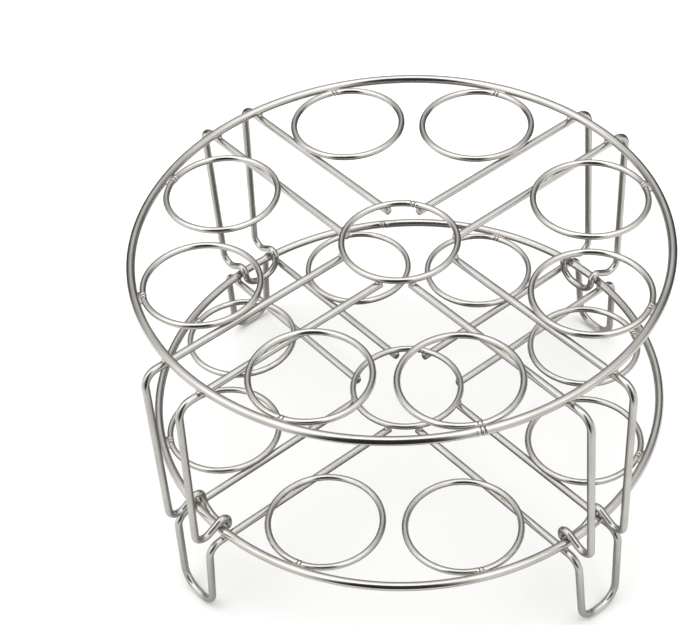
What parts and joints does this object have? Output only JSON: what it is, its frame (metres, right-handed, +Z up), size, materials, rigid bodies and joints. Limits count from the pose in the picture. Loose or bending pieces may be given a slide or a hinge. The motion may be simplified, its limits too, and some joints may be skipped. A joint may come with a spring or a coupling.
{
  "type": "egg steaming rack",
  "caption": "Two-tier stackable wire egg steaming rack, with rings that hold eggs upright and an upper tier that lifts off.",
  "frame": {"origin": "centre of the object's footprint, on the plane that the four feet stand on", "axes": "+Z up along the rings' common axis; the four legs are on the diagonals, and an egg ring pair faces each of +X, -X, +Y and -Y; the front is -Y"},
  "size_m": [0.1832, 0.1832, 0.108],
  "materials": {
    "outer_ring_steel": "bright drawn stainless wire",
    "egg_ring_steel": "bright drawn stainless wire",
    "leg_steel": "bright drawn stainless wire, slightly duller at the bends"
  },
  "bodies": {
    "lower_tier": {"lower_outer_ring": "outer_ring_steel", "lower_egg_ring_centre": "egg_ring_steel", "lower_egg_ring_1": "egg_ring_steel", "lower_egg_ring_2": "egg_ring_steel", "lower_egg_ring_3": "egg_ring_steel", "lower_egg_ring_4": "egg_ring_steel", "lower_egg_ring_5": "egg_ring_steel", "lower_egg_ring_6": "egg_ring_steel", "lower_egg_ring_7": "egg_ring_steel", "lower_egg_ring_8": "egg_ring_steel", "lower_leg_front_left": "leg_steel", "lower_leg_front_right": "leg_steel", "lower_leg_back_right": "leg_steel", "lower_leg_back_left": "leg_steel"},
    "upper_tier": {"upper_outer_ring": "outer_ring_steel", "upper_egg_ring_centre": "egg_ring_steel", "upper_egg_ring_1": "egg_ring_steel", "upper_egg_ring_2": "egg_ring_steel", "upper_egg_ring_3": "egg_ring_steel", "upper_egg_ring_4": "egg_ring_steel", "upper_egg_ring_5": "egg_ring_steel", "upper_egg_ring_6": "egg_ring_steel", "upper_egg_ring_7": "egg_ring_steel", "upper_egg_ring_8": "egg_ring_steel", "upper_leg_front_left": "leg_steel", "upper_leg_front_right": "leg_steel", "upper_leg_back_right": "leg_steel", "upper_leg_back_left": "leg_steel"}
  },
  "joints": [
    {"name": "upper_tier_lift", "type": "slide", "parent": "lower_tier", "child": "upper_tier", "axis": [0, 0, 1], "range_m": [0, 0.11]}
  ]
}
